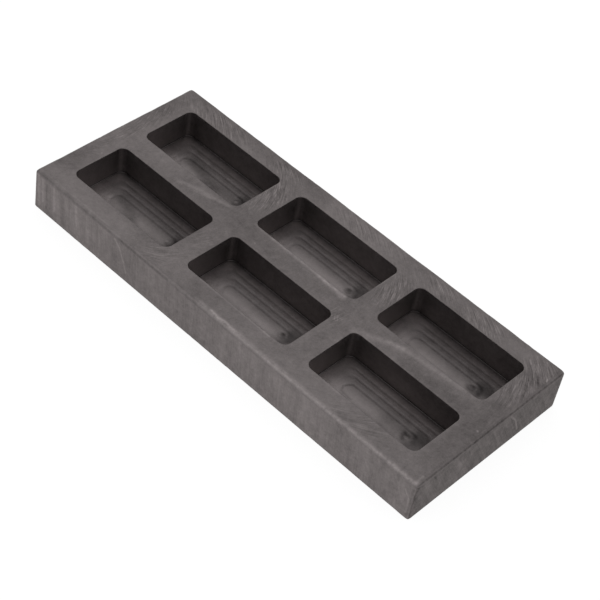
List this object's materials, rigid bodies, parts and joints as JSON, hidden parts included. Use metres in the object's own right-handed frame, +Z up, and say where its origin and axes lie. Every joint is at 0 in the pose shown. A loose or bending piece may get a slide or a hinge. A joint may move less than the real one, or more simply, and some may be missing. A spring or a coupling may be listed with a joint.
{
  "type": "graphite casting mould",
  "caption": "Flat rectangular block of machined graphite with open round-cornered cavities for casting small metal bars.",
  "frame": {"origin": "middle of the flat underside", "axes": "+X along the block's length, +Y across it, +Z up, out of the open cavities"},
  "size_m": [0.19, 0.079, 0.018],
  "materials": {
    "graphite": "dense machined graphite, dark grey, satin with a soft metallic sheen, cutter marks"
  },
  "bodies": {
    "root": {"mould_block": "graphite"}
  },
  "joints": []
}
